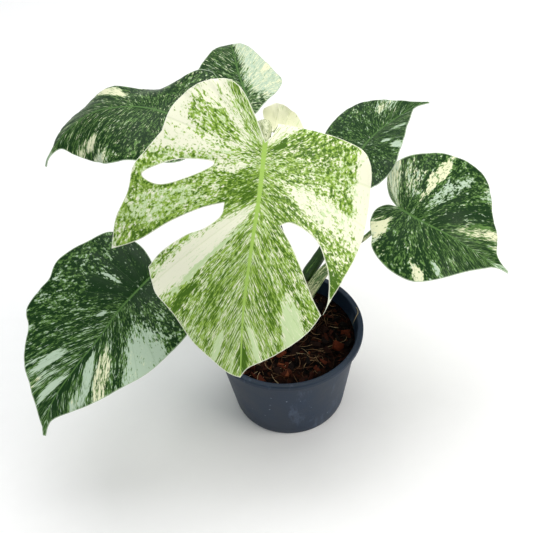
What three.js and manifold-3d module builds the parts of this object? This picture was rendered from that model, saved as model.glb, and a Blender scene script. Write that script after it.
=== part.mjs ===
// A potted variegated monstera: nursery pot, soil, stem, and six leaves, each a stalk (petiole) with a blade.
// Millimetres, +Z up. The origin is the middle of the pot's base; the front leaf points towards -Y.

import * as THREE from 'three';
import { mergeVertices } from 'three/addons/utils/BufferGeometryUtils.js';
import Module from 'manifold-3d';

const wasm = await Module();
wasm.setup();

// Driving dimensions

const GAP = 0.3;

const POT = {
  rimRadius: 65,
  height: 88,
  baseRadius: 49,
  bodyTopRadius: 61,
  wall: 1.3,
  floor: 2,
  rimInnerRadius: 60,
  lipDrop: 4,
  drainHoles: 8,
  drainRadius: 4,
  drainCircle: 33,
  sides: 48,
};

const SOIL = {
  level: 73,
  chips: 90,
  chipHeight: 2.4,
  chipSpread: 4.5,
  ringStep: 5.4,
};

// The stem leans to the right; its foot stands in a hole in the soil.
const STEM = {
  route: [[6, 14, 54], [9, 16, 72], [13, 17, 90], [17, 18, 106], [19, 18, 120]],
  radius: [8.2, 8.6, 8.4, 7.4, 5.4],
  nodeSwell: 0.5,
  nodes: 5,
};

// A blade is drawn flat as [along, across]: along the midrib from the stalk (0) to the tip, across to the
// right of the midrib (positive) or to its left, seen from above with the tip ahead. Its margin is a list of
// smooth runs that meet at corners. The midrib is a curve in space; behind the stalk each basal lobe follows
// a curve of its own. fold is how far each half rises from the midrib and curl how far it has turned
// downwards by the time it is reach away, in degrees, at the stalk, half way and at the tip.
const BLADE = {
  thickness: 0.8,
  rib: 1.4,
  ribWidth: 3.2,
  marginStep: 5.5,
  innerStep: 8.5,
  evenness: 15,
};

const LEAVES = {
  front: {
    colour: 0x9fbf5a,
    midrib: [[-6, -7, 282], [-13, -35, 259], [-21, -59, 235], [-30, -83, 200], [-36, -104, 159]],
    backLeft: [
      [-4.6, 4, 288.8], [-5.5, 8, 286.5], [-7, 11.5, 282], [-8.5, 14.5, 277.5], [-9.5, 18.5, 275.5],
      [-10, 22, 278.5], [-10.2, 24.3, 284.5], [-10.2, 25.5, 292], [-10, 26, 299],
    ],
    lobeStep: 4.5,
    backRight: [[0, 16, 300]],
    foldLeft: [-20, -20, -8],
    foldRight: [4, 2, 0],
    curlLeft: [-30, -30, -15],
    curlRight: [-8, -8, -10],
    reach: 80,
    margin: [
      [[0, 0], [-16, 8], [-36, 21], [-42, 36], [-35, 54], [-21, 67], [-3, 72]],
      [[-3, 72], [9, 81], [22, 90], [43, 93], [67, 101], [90, 103]],
      [[90, 103], [79, 81], [62, 59], [50, 39], [44, 23]],
      [[44, 23], [53, 24], [63, 34], [70, 47], [84, 63], [97, 72]],
      [[97, 72], [112, 65], [125, 49], [144, 32], [160, 10], [163, 0]],
      [[163, 0], [155, -6], [146, -23], [131, -44], [116, -54]],
      [[116, -54], [92, -41], [68, -28], [54, -17]],
      [[54, -17], [51, -25], [58, -42], [70, -51], [88, -57], [105, -58], [116, -55.5]],
      [[116, -55.5], [104, -60], [86, -69], [62, -81], [38, -88], [12, -90], [-8, -80], [-13, -62], [-15, -44]],
      [
        [-15, -44], [-24, -40], [-40, -35], [-51, -29], [-55, -18], [-50, -6], [-42, -5], [-30, -9], [-16, -9],
        [-6, -5], [0, 0],
      ],
    ],
    holes: [[[28, 83], [18, 66], [15, 50], [17, 33], [27, 48], [35, 70]]],
    stalk: {
      route: [
        [13, 17, 113], [7, 21, 128], [-6, 30, 152], [-14, 36, 190], [-14, 34, 232],
        [-11, 25, 264], [-7.5, 16, 278.5], [-5, 7, 284],
      ],
      width: [4, 4, 3.4, 3.2, 3.2, 3.8, 5.2, 5.6],
      depth: [4, 4, 3.4, 3.2, 3.2, 3.6, 4.4, 4.4],
    },
  },
  back_left: {
    colour: 0x2f5a2a,
    midrib: [[-73, 100, 236], [-95, 108, 241], [-117, 115, 240], [-143, 118, 235], [-166, 112, 223], [-183, 100, 208], [-187, 96, 201]],
    backLeft: [[-48, 70, 234]],
    backRight: [[-50, 84, 252]],
    foldLeft: [-10, -8, -6],
    foldRight: [10, -5, -14],
    curlLeft: [-20, -22, -20],
    curlRight: [-6, -22, -20],
    reach: 50,
    waveRight: { height: 9, length: 66, crest: 67 },
    margin: [
      [
        [0, 0], [-12, 6], [-26, 17], [-32, 31], [-30, 44], [-20, 52], [-8, 52], [5, 48], [20, 45], [36, 40],
        [48, 38], [58, 40], [66, 41], [77, 36], [86, 29], [97, 19], [112, 9], [118, 4],
      ],
      [[118, 4], [124, 2], [135.5, 1.2]],
      [[135.5, 1.2], [135.5, -1.2]],
      [
        [135.5, -1.2], [124, -1.5], [115, -7], [111, -22], [103, -37], [93, -45], [72, -52], [48, -54], [28, -51],
        [8, -47], [-12, -40], [-26, -27], [-26, -12], [-12, -3], [0, 0],
      ],
    ],
    holes: [],
    stalk: {
      route: [[12, 20, 98], [3, 27, 112], [-20, 40, 146], [-31, 54, 186], [-46, 72, 216], [-64, 94, 232]],
      width: [3.4, 3.6, 2.6, 2.3, 2.2, 2.6],
      depth: [4, 3.6, 2.6, 2.3, 2.2, 2.4],
    },
  },
  lower_left: {
    colour: 0x2f5a2a,
    midrib: [[-101, 2, 158.5], [-127, -21, 147], [-144, -38, 135], [-162, -55, 124], [-182, -76, 108], [-189, -94, 93]],
    backLeft: [[-90, 18, 154]],
    backRight: [[-90, 18, 160]],
    foldLeft: [-4, -4, -4],
    foldRight: [24, 18, 6],
    curlLeft: [-14, -14, -14],
    curlRight: [-14, -14, -14],
    reach: 60,
    margin: [
      [
        [0, 0], [-5, 4], [-9, 11], [-12, 23], [-10, 38], [-4, 52], [12, 60], [28, 67], [39, 69], [49, 64.5], [61, 67],
        [76, 68], [84, 64], [90, 55], [104, 46], [112, 37], [120, 23], [130, 11], [142, 3],
      ],
      [[142, 3], [148.3, 1.2]],
      [[148.3, 1.2], [148.3, -1.2]],
      [
        [148.3, -1.2], [141, -1.8], [135, -5], [124, -17], [105, -30], [83, -41], [60, -51], [38, -56], [16, -56],
        [-6, -48], [-18, -34], [-18, -18], [-9, -6], [0, 0],
      ],
    ],
    holes: [],
    stalk: {
      route: [[8, 16, 82], [1, 15, 94], [-26, 11, 130], [-60, 7, 150], [-84, 6, 156], [-95, 5, 155]],
      width: [4, 3.8, 2.8, 2.4, 2.4, 2.6],
      depth: [4, 3.6, 2.8, 2.4, 2.4, 2.4],
    },
  },
  upper_right: {
    colour: 0x2f5a2a,
    midrib: [[67, 59, 216], [78, 75, 217], [92, 92, 216], [108, 107, 215], [121, 118, 215], [136, 124, 214]],
    backLeft: [[54, 44, 214]],
    backRight: [[50, 42, 206]],
    foldLeft: [0, 2, 0],
    foldRight: [24, 20, 5],
    curlLeft: [-20, -20, -10],
    curlRight: [-20, -20, -10],
    reach: 45,
    margin: [
      [
        [0, 0], [-12, 6], [-28, 16], [-34, 27], [-30, 35], [-14, 38], [2, 34], [16, 31], [34, 25], [50, 17.5],
        [61, 12], [78, 3],
      ],
      [[78, 3], [86, 1.6], [96, 1.2]],
      [[96, 1.2], [96, -1.2]],
      [
        [96, -1.2], [91, -3], [84, -8], [77, -17], [72, -28], [64, -41], [54, -45], [40, -45], [20, -41], [2, -35],
        [-11, -25], [-14, -13], [-8, -3], [0, 0],
      ],
    ],
    holes: [],
    stalk: {
      route: [[19, 22, 102], [22, 24.5, 122], [30, 28, 134], [38, 33, 147], [48, 41, 178], [58, 51, 205], [64, 56, 211]],
      width: [4.5, 5.4, 5, 3.6, 2.5, 2.1, 2.2],
      depth: [4.5, 5.4, 5, 3.6, 2.5, 2, 2.2],
    },
  },
  right: {
    colour: 0x4a6b3a,
    midrib: [[91, 18, 194], [105, 9, 188], [118, 2, 183], [129, -3, 178], [143, -8, 169], [157, -14, 160], [172, -18, 150]],
    backLeft: [[78, 30, 210]],
    backRight: [[74, 32, 196]],
    foldLeft: [26, 24, 10],
    foldRight: [-18, -14, -6],
    curlLeft: [-12, -12, -10],
    curlRight: [-12, -12, -10],
    reach: 50,
    margin: [
      [
        [0, 0], [-8, 3], [-13, 11], [-11, 22], [-4, 31], [1, 39], [12, 45], [26, 48], [38, 46], [55, 33],
        [74, 14.5], [86, 4],
      ],
      [[86, 4], [92, 1.8], [101, 1.2]],
      [[101, 1.2], [101, -1.2]],
      [
        [101, -1.2], [95, -3.5], [88, -10], [84, -25], [73, -39], [66, -52], [56, -66], [40, -67.5], [20, -64],
        [2, -57], [-12, -41], [-21, -22], [-20, -9], [-12, -2.5], [0, 0],
      ],
    ],
    holes: [],
    stalk: {
      route: [
        [17.5, 13, 90], [20, 13.5, 107], [27, 14, 122], [34, 14.5, 133.5], [44, 15.5, 145], [56, 17, 155.5],
        [69, 18, 166], [83, 19, 182], [89, 19, 190],
      ],
      width: [4.5, 4.8, 5.2, 4.8, 3.6, 2.6, 2, 1.9, 2.2],
      depth: [4.5, 4.8, 5.2, 4.8, 3.6, 2.6, 2, 1.9, 2],
    },
  },
  back: {
    colour: 0x6b8a60,
    midrib: [[-13, 83, 246], [-17, 114, 243], [-22, 146, 243], [-25, 177, 244], [-28, 198, 241], [-30, 208, 231]],
    backLeft: [[-10, 62, 245]],
    backRight: [[-12, 62, 247]],
    foldLeft: [-6, -4, 0],
    foldRight: [2, 2, 2],
    curlLeft: [-10, -10, -10],
    curlRight: [-10, -10, -10],
    reach: 45,
    margin: [
      [[0, 0], [-3, 2], [8, 9], [19, 17], [33, 28], [46, 33], [60, 30], [75, 25.5], [98, 17], [116, 8], [124, 3]],
      [[124, 3], [129, 1.5], [135, 1.2]],
      [[135, 1.2], [135, -1.2]],
      [
        [135, -1.2], [128, -3], [119, -8], [110, -16], [98, -25], [80, -34], [56, -39], [32, -39], [10, -33],
        [-6, -23], [-8, -9], [0, 0],
      ],
    ],
    holes: [],
    stalk: {
      route: [[14, 21, 86], [13.5, 29, 99], [4, 46, 140], [-6, 63, 192], [-12, 76, 230], [-13, 80, 241]],
      width: [3.4, 3.5, 2.8, 2.3, 2.2, 2.4],
      depth: [4, 3.6, 2.8, 2.3, 2.2, 2.4],
    },
  },
};

const COLOURS = { pot: 0x39424e, soil: 0x2a1c16, stem: 0x3d5a2c, stalk: 0x41632f };

// Small tools

const radians = THREE.MathUtils.degToRad;
const vector = ([x, y, z]) => new THREE.Vector3(x, y, z);

function seeded(seed) {
  let state = seed;
  return () => {
    state = (state * 1664525 + 1013904223) % 4294967296;
    return state / 4294967296;
  };
}

// A smooth value through three given ones, at 0, a half and 1.
function throughThree([first, middle, last], at) {
  const u = THREE.MathUtils.clamp(at, 0, 1);
  return first * 2 * (u - 0.5) * (u - 1) - middle * 4 * u * (u - 1) + last * 2 * u * (u - 0.5);
}

// A value read from an evenly spaced list, at 0 to 1 along it.
function alongList(list, at) {
  const place = THREE.MathUtils.clamp(at, 0, 1) * (list.length - 1);
  const index = Math.min(Math.floor(place), list.length - 2);
  return THREE.MathUtils.lerp(list[index], list[index + 1], place - index);
}

function solidOf(geometry) {
  const bare = geometry.clone();
  bare.deleteAttribute('normal');
  bare.deleteAttribute('uv');
  const merged = mergeVertices(bare, 1e-4);
  return new wasm.Manifold(new wasm.Mesh({
    numProp: 3,
    vertProperties: new Float32Array(merged.attributes.position.array),
    triVerts: new Uint32Array(merged.index.array),
  }));
}

function geometryOf(solid) {
  const { vertProperties, triVerts } = solid.getMesh();
  const geometry = new THREE.BufferGeometry();
  geometry.setAttribute('position', new THREE.BufferAttribute(new Float32Array(vertProperties), 3));
  geometry.setIndex(new THREE.BufferAttribute(new Uint32Array(triVerts), 1));
  return geometry;
}

function piece(name, geometry, colour, roughness) {
  const shape = geometry.clone();
  shape.computeVertexNormals();
  const mesh = new THREE.Mesh(shape, new THREE.MeshStandardMaterial({ color: colour, roughness, metalness: 0 }));
  mesh.name = name;
  return mesh;
}

// A curve through points, read by its length from one of them.
class Rail {
  constructor(points, start = 0) {
    const steps = 40;
    const curve = new THREE.CatmullRomCurve3(points.map(vector), false, 'catmullrom', 0.5);
    this.places = curve.getPoints(steps * (points.length - 1)).slice(start * steps);
    this.lengths = [0];
    for (let i = 1; i < this.places.length; i += 1) {
      this.lengths.push(this.lengths[i - 1] + this.places[i].distanceTo(this.places[i - 1]));
    }
    this.length = this.lengths[this.lengths.length - 1];
  }

  // Past either end the rail runs on straight.
  at(distance) {
    const last = this.places.length - 1;
    let i = this.lengths.findIndex((length) => length > distance);
    i = i < 0 ? last : Math.max(i, 1);
    const span = this.lengths[i] - this.lengths[i - 1];
    const share = (distance - this.lengths[i - 1]) / span;
    const before = this.places[Math.max(i - 2, 0)];
    const after = this.places[Math.min(i + 1, last)];
    return {
      place: this.places[i - 1].clone().lerp(this.places[i], share),
      heading: after.clone().sub(before).normalize(),
    };
  }
}

// A tube of elliptic section along a route; width and depth list its half sizes from end to end.
function tube(route, width, depth, extra = 0, sides = 10, stepLength = 9) {
  const rail = new Rail(route);
  const steps = Math.ceil(rail.length / stepLength);
  const ring = Array.from({ length: sides }, (_, k) => {
    const angle = (2 * Math.PI * k) / sides;
    return new THREE.Vector2(Math.cos(angle), Math.sin(angle));
  });
  const geometry = new THREE.ExtrudeGeometry(new THREE.Shape(ring), { depth: 1, steps, bevelEnabled: false });
  const corners = geometry.attributes.position;
  for (let i = 0; i < corners.count; i += 1) {
    const at = corners.getZ(i);
    const { place, heading } = rail.at(at * rail.length);
    const side = new THREE.Vector3(-heading.y, heading.x, 0);
    side.addScaledVector(new THREE.Vector3(1, 0, 0), 0.05).normalize();
    side.addScaledVector(heading, -side.dot(heading)).normalize();
    const upper = heading.clone().cross(side);
    place.addScaledVector(side, corners.getX(i) * (alongList(width, at) + extra));
    place.addScaledVector(upper, corners.getY(i) * (alongList(depth, at) + extra));
    corners.setXYZ(i, place.x, place.y, place.z);
  }
  return geometry;
}

// Pot and soil

function potRadius(height) {
  return THREE.MathUtils.lerp(POT.baseRadius, POT.bodyTopRadius, height / (POT.height - POT.lipDrop));
}

function potGeometry() {
  const top = POT.height;
  const lipInner = POT.rimRadius - POT.wall;
  const profile = [
    [0, 0],
    [POT.baseRadius - 1.2, 0],
    [POT.baseRadius, 1.2],
    [potRadius(top / 2), top / 2],
    [POT.bodyTopRadius, top - POT.lipDrop],
    [POT.bodyTopRadius + 0.2, top - POT.wall],
    [lipInner, top - POT.wall],
    [lipInner, top - POT.lipDrop],
    [POT.rimRadius, top - POT.lipDrop],
    [POT.rimRadius, top - 0.9],
    [POT.rimRadius - 0.9, top],
    [POT.rimInnerRadius + 0.8, top],
    [POT.rimInnerRadius, top - 0.9],
    [potRadius(top / 2) - POT.wall, top / 2],
    [potRadius(POT.floor) - POT.wall, POT.floor],
    [0, POT.floor],
  ].map(([x, y]) => new THREE.Vector2(x, y));
  const body = new THREE.LatheGeometry(profile, POT.sides).rotateX(Math.PI / 2);
  let solid = solidOf(body);
  for (let k = 0; k < POT.drainHoles; k += 1) {
    const angle = (2 * Math.PI * (k + 0.5)) / POT.drainHoles;
    const drill = new THREE.CylinderGeometry(POT.drainRadius, POT.drainRadius, POT.floor * 3, 14).rotateX(Math.PI / 2);
    drill.translate(POT.drainCircle * Math.cos(angle), POT.drainCircle * Math.sin(angle), 0);
    solid = solid.subtract(solidOf(drill));
  }
  return geometryOf(solid);
}

function soilGeometry() {
  const random = seeded(7);
  const rim = potRadius(SOIL.level) - POT.wall - GAP;
  const chips = Array.from({ length: SOIL.chips }, () => {
    const radius = rim * Math.sqrt(random());
    const angle = 2 * Math.PI * random();
    return {
      x: radius * Math.cos(angle),
      y: radius * Math.sin(angle),
      height: SOIL.chipHeight * (random() - 0.35),
      spread: SOIL.chipSpread * (0.7 + 0.6 * random()),
    };
  });
  const foot = POT.floor + GAP;
  const profile = [[0, foot], [potRadius(foot) - POT.wall - GAP, foot], [rim, SOIL.level]];
  const rings = Math.round(rim / SOIL.ringStep);
  for (let k = rings - 1; k >= 0; k -= 1) profile.push([(rim * k) / rings, SOIL.level]);
  const points = profile.map(([x, y]) => new THREE.Vector2(x, y));
  const geometry = new THREE.LatheGeometry(points, POT.sides).rotateX(Math.PI / 2);
  const corners = geometry.attributes.position;
  for (let i = 0; i < corners.count; i += 1) {
    const [x, y, z] = [corners.getX(i), corners.getY(i), corners.getZ(i)];
    if (z > SOIL.level - 1 && Math.hypot(x, y) < rim - 1) {
      const lift = chips.reduce((sum, chip) => {
        const apart = Math.hypot(x - chip.x, y - chip.y) / chip.spread;
        return sum + chip.height * Math.exp(-apart * apart);
      }, 0);
      corners.setZ(i, z + lift);
    }
  }
  return geometryOf(solidOf(geometry).subtract(solidOf(stemGeometry(GAP))));
}

// Stem

function stemGeometry(extra = 0) {
  const swollen = Array.from({ length: STEM.nodes * 4 + 1 }, (_, k) => {
    const at = k / (STEM.nodes * 4);
    return alongList(STEM.radius, at) + STEM.nodeSwell * Math.cos((k * Math.PI) / 2);
  });
  return tube(STEM.route, swollen, swollen, extra, 14, 3.5);
}

// Leaf blades

class Blade {
  constructor(leaf) {
    this.leaf = leaf;
    this.rail = new Rail(leaf.midrib);
    this.start = this.rail.at(0);
    this.backRails = [leaf.backLeft, leaf.backRight].map((back) => this.backRail(back));
    this.length = this.rail.length;
  }

  // A lobe's rail leaves the stalk straight back along the midrib: the point before the stalk sees to that.
  backRail(back) {
    const { place, heading } = this.start;
    const lead = vector(back[0]).distanceTo(place) * 2;
    const before = vector(back[0]).addScaledVector(heading, lead);
    return new Rail([before.toArray(), place.toArray(), ...back], 1);
  }

  // The midrib's heading, evened out so that the halves don't crease where the midrib turns.
  heading(along) {
    const [behind, ahead] = [-BLADE.evenness, BLADE.evenness].map((step) => this.rail.at(along + step).place);
    return ahead.sub(behind).normalize();
  }

  // The middle surface of the blade in space, for a point of its flat drawing.
  place(along, across) {
    const { leaf } = this;
    const right = across > 0;
    const share = along / this.length;
    const { place } = along < 0 ? this.backRails[right ? 1 : 0].at(-along) : this.rail.at(along);
    const heading = this.heading(Math.max(along, 0));
    const side = new THREE.Vector3(heading.y, -heading.x, 0).normalize();
    const upper = side.clone().cross(heading);
    const distance = Math.abs(across);
    const fold = radians(throughThree(right ? leaf.foldRight : leaf.foldLeft, share));
    const turn = radians(throughThree(right ? leaf.curlRight : leaf.curlLeft, share)) / leaf.reach;
    const out = (Math.sin(fold + turn * distance) - Math.sin(fold)) / turn;
    let rise = -(Math.cos(fold + turn * distance) - Math.cos(fold)) / turn;
    const wave = right ? leaf.waveRight : leaf.waveLeft;
    if (wave) {
      const phase = Math.cos((2 * Math.PI * (along - wave.crest)) / wave.length);
      rise += wave.height * phase * (distance / leaf.reach) ** 2;
    }
    return place.addScaledVector(side, Math.sign(across) * out).addScaledVector(upper, rise);
  }

  normal(along, across) {
    const step = 0.5;
    const ahead = this.place(along + step, across).sub(this.place(along - step, across));
    const aside = this.place(along, across + step).sub(this.place(along, across - step));
    return aside.cross(ahead).normalize();
  }
}

// The margin as evenly stepped flat points; a run's corners stay sharp.
function steppedRuns(runs, step) {
  const loop = [];
  for (const run of runs) {
    const curve = new THREE.SplineCurve(run.map(([x, y]) => new THREE.Vector2(x, y)));
    const steps = Math.max(1, Math.round(curve.getLength() / step));
    loop.push(...curve.getSpacedPoints(steps).slice(0, -1));
  }
  return loop;
}

function steppedRing(points, step) {
  const corners = points.map(([x, y]) => new THREE.Vector3(x, y, 0));
  const closed = new THREE.CatmullRomCurve3(corners, true, 'catmullrom', 0.5);
  const steps = Math.max(6, Math.round(closed.getLength() / step));
  return closed.getSpacedPoints(steps).slice(0, -1).map((p) => new THREE.Vector2(p.x, p.y));
}

function inside(point, loop) {
  let within = false;
  for (let i = 0, j = loop.length - 1; i < loop.length; j = i, i += 1) {
    const [a, b] = [loop[i], loop[j]];
    const crosses = a.y > point.y !== b.y > point.y;
    if (crosses && point.x < ((b.x - a.x) * (point.y - a.y)) / (b.y - a.y) + a.x) within = !within;
  }
  return within;
}

function distanceToLoop(point, loop) {
  let least = Infinity;
  for (let i = 0, j = loop.length - 1; i < loop.length; j = i, i += 1) {
    const edge = loop[i].clone().sub(loop[j]);
    const share = THREE.MathUtils.clamp(point.clone().sub(loop[j]).dot(edge) / edge.lengthSq(), 0, 1);
    least = Math.min(least, loop[j].clone().addScaledVector(edge, share).distanceTo(point));
  }
  return least;
}

// Delaunay triangles over flat points (Bowyer and Watson's way), each as three indices.
function delaunay(points) {
  const far = 1e4;
  const all = [...points, new THREE.Vector2(-far, -far), new THREE.Vector2(far, -far), new THREE.Vector2(0, far)];
  const circled = (a, b, c) => {
    const [p, q, r] = [all[a], all[b], all[c]];
    const twice = 2 * (p.x * (q.y - r.y) + q.x * (r.y - p.y) + r.x * (p.y - q.y));
    const [pp, qq, rr] = [p.lengthSq(), q.lengthSq(), r.lengthSq()];
    const x = (pp * (q.y - r.y) + qq * (r.y - p.y) + rr * (p.y - q.y)) / twice;
    const y = (pp * (r.x - q.x) + qq * (p.x - r.x) + rr * (q.x - p.x)) / twice;
    return { corners: [a, b, c], x, y, reach: (p.x - x) ** 2 + (p.y - y) ** 2 };
  };
  let triangles = [circled(points.length, points.length + 1, points.length + 2)];
  points.forEach((point, index) => {
    const hit = triangles.filter((t) => (point.x - t.x) ** 2 + (point.y - t.y) ** 2 < t.reach);
    const edges = new Map();
    for (const { corners: [a, b, c] } of hit) {
      for (const [from, to] of [[a, b], [b, c], [c, a]]) {
        if (!edges.delete(`${to} ${from}`)) edges.set(`${from} ${to}`, [from, to]);
      }
    }
    triangles = triangles.filter((t) => !hit.includes(t));
    for (const [from, to] of edges.values()) triangles.push(circled(from, to, index));
  });
  return triangles.map((t) => t.corners).filter((corners) => Math.max(...corners) < points.length);
}

// Flat points and triangles of a blade. Margin stretches that the triangles miss are halved until none is.
function flatMesh(leaf, length) {
  const loops = [steppedRuns(leaf.margin, BLADE.marginStep)];
  for (const hole of leaf.holes) loops.push(steppedRing(hole, BLADE.marginStep * 0.8));
  const within = (point) => inside(point, loops[0]) && !loops.slice(1).some((loop) => inside(point, loop));
  const clear = (point) => Math.min(...loops.map((loop) => distanceToLoop(point, loop)));
  const inner = [];
  const keep = (point, room) => {
    if (within(point) && clear(point) > room) inner.push(point);
  };
  for (let along = BLADE.innerStep / 2; along < length; along += BLADE.innerStep) {
    for (const across of [-BLADE.ribWidth, 0, BLADE.ribWidth]) keep(new THREE.Vector2(along, across), 1.5);
  }
  const lattice = (from, to, step) => {
    const rowStep = step * Math.sqrt(0.75);
    for (let row = 1; BLADE.ribWidth + row * rowStep < leaf.reach * 1.5; row += 1) {
      for (const side of [-1, 1]) {
        const across = side * (BLADE.ribWidth + (row - 0.3) * rowStep);
        for (let along = from + (row % 2 ? step / 2 : 0); along < to; along += step) {
          keep(new THREE.Vector2(along, across), step * 0.4);
        }
      }
    }
  };
  const lobeStep = leaf.lobeStep ?? BLADE.innerStep;
  lattice(-12 * lobeStep, 0, lobeStep);
  lattice(0, length, BLADE.innerStep);
  for (let round = 0; round < 8; round += 1) {
    const points = [...loops.flat(), ...inner];
    const triangles = delaunay(points);
    const sides = new Set();
    for (const [a, b, c] of triangles) [[a, b], [b, c], [c, a]].forEach(([p, q]) => sides.add(`${p} ${q}`));
    let first = 0;
    let missing = 0;
    const halved = loops.map((loop) => {
      const finer = [];
      loop.forEach((point, i) => {
        finer.push(point);
        const [from, to] = [first + i, first + ((i + 1) % loop.length)];
        if (!sides.has(`${from} ${to}`) && !sides.has(`${to} ${from}`)) {
          missing += 1;
          finer.push(point.clone().lerp(loop[(i + 1) % loop.length], 0.5));
        }
      });
      first += loop.length;
      return finer;
    });
    if (missing === 0) {
      const kept = triangles.filter((corners) => {
        const centre = corners.reduce((sum, i) => sum.add(points[i]), new THREE.Vector2()).divideScalar(3);
        return within(centre);
      });
      return { points, triangles: kept };
    }
    loops.splice(0, loops.length, ...halved);
  }
  throw new Error('a blade margin could not be meshed');
}

// A blade of even thickness with its rib raised on the underside; both faces share one set of triangles.
// With extra, it is that much larger all round.
function bladeGeometry(leaf, extra = 0) {
  const blade = new Blade(leaf);
  const { points, triangles } = flatMesh(leaf, blade.length);
  const count = points.length;
  const faces = [];
  const open = new Map();
  for (const [a, b, c] of triangles) {
    const turn = points[b].clone().sub(points[a]).cross(points[c].clone().sub(points[a])) > 0;
    const [p, q, r] = turn ? [a, c, b] : [a, b, c];
    faces.push(p, q, r, count + p, count + r, count + q);
    for (const [from, to] of [[p, q], [q, r], [r, p]]) {
      if (!open.delete(`${to} ${from}`)) open.set(`${from} ${to}`, [from, to]);
    }
  }
  const outward = points.map(() => new THREE.Vector2());
  for (const [from, to] of open.values()) {
    faces.push(from, count + from, to, to, count + from, count + to);
    const edge = points[to].clone().sub(points[from]).normalize();
    for (const end of [from, to]) outward[end].add(new THREE.Vector2(-edge.y, edge.x));
  }
  const corners = new Float32Array(count * 6);
  points.forEach((point, i) => {
    const { x: along, y: across } = point.clone().addScaledVector(outward[i], extra);
    const normal = blade.normal(along, across);
    const middle = blade.place(along, across);
    const taper = THREE.MathUtils.clamp(1 - point.x / blade.length, 0, 1);
    const rib = Math.abs(point.y) < 1 && point.x > 1 ? BLADE.rib * taper : 0;
    middle.clone().addScaledVector(normal, BLADE.thickness / 2 + extra).toArray(corners, i * 3);
    middle.clone().addScaledVector(normal, -BLADE.thickness / 2 - rib - extra).toArray(corners, (count + i) * 3);
  });
  const geometry = new THREE.BufferGeometry();
  geometry.setAttribute('position', new THREE.BufferAttribute(corners, 3));
  geometry.setIndex(faces);
  return geometry;
}

// Leaf stalks: the base clasps the stem, and the top is trimmed to sit just under the blade.
function stalkGeometry(leaf) {
  const { route, width, depth } = leaf.stalk;
  const seat = new Blade(leaf).place(0, 0).toArray();
  const whole = solidOf(tube([...route, seat], [...width, width.at(-1)], [...depth, depth.at(-1)]));
  const room = solidOf(bladeGeometry(leaf, GAP)).add(solidOf(stemGeometry(GAP)));
  const [stalk] = whole.subtract(room).decompose().sort((a, b) => b.volume() - a.volume());
  return geometryOf(stalk);
}

// The plant

const plant = new THREE.Group();
plant.add(piece('pot', potGeometry(), COLOURS.pot, 0.55));
plant.add(piece('soil', soilGeometry(), COLOURS.soil, 0.95));
plant.add(piece('stem', stemGeometry(), COLOURS.stem, 0.5));
for (const [name, leaf] of Object.entries(LEAVES)) {
  plant.add(piece(`petiole_${name}`, stalkGeometry(leaf), COLOURS.stalk, 0.45));
  plant.add(piece(`leaf_${name}`, bladeGeometry(leaf), leaf.colour, 0.4));
}

export default plant;
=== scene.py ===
# A potted variegated monstera in a studio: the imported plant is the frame, and its looks are built here.
# Lengths are in millimetres while a shape is drawn and become metres when its mesh is finished.

import math
import random
from bisect import bisect_right

import bmesh
import bpy
from mathutils import Matrix, Vector, noise
from mathutils.geometry import delaunay_2d_cdt
from mathutils.kdtree import KDTree


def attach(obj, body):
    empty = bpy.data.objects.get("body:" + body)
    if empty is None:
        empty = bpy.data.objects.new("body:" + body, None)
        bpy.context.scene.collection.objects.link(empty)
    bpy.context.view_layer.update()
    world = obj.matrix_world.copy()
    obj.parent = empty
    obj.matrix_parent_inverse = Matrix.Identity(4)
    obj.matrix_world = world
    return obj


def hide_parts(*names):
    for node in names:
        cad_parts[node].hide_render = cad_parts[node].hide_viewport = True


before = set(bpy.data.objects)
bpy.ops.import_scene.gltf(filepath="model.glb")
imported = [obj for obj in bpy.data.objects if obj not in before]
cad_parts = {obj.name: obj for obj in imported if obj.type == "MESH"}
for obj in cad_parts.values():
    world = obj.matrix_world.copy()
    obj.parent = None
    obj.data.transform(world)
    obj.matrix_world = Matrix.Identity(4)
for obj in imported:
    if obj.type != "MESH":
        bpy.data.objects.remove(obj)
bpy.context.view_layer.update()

MM = 0.001

# Sizes shared with the solids

POT_RIM = 65
POT_HEIGHT = 88
POT_BASE = 49
POT_BODY_TOP = 61
POT_WALL = 1.3
POT_FLOOR = 2
POT_MOUTH = 60
LIP_DROP = 4
DRAIN_HOLES = 8
DRAIN_RADIUS = 4
DRAIN_CIRCLE = 33

SOIL_LEVEL = 73
SOIL_LUMPS = 90
BARK_CHIPS = 260
COIR_FIBRES = 150
LUMP_HEIGHT = 2.4
LUMP_SPREAD = 4.5
GAP = 0.3
SOIL_RIM = POT_BASE + (POT_BODY_TOP - POT_BASE) * SOIL_LEVEL / (POT_HEIGHT - LIP_DROP) - POT_WALL - GAP

STEM_ROUTE = [(6, 14, 54), (9, 16, 72), (13, 17, 90), (17, 18, 106), (19, 18, 120)]
STEM_RADIUS = (8.2, 8.6, 8.4, 7.4, 5.4)
STEM_NODES = 5
STEM_FOOT = (9, 16)
STEM_ROOM = 11

EVENNESS = 15
LEAF_THICKNESS = 0.7
RIB_HEIGHT = 1.4

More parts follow.
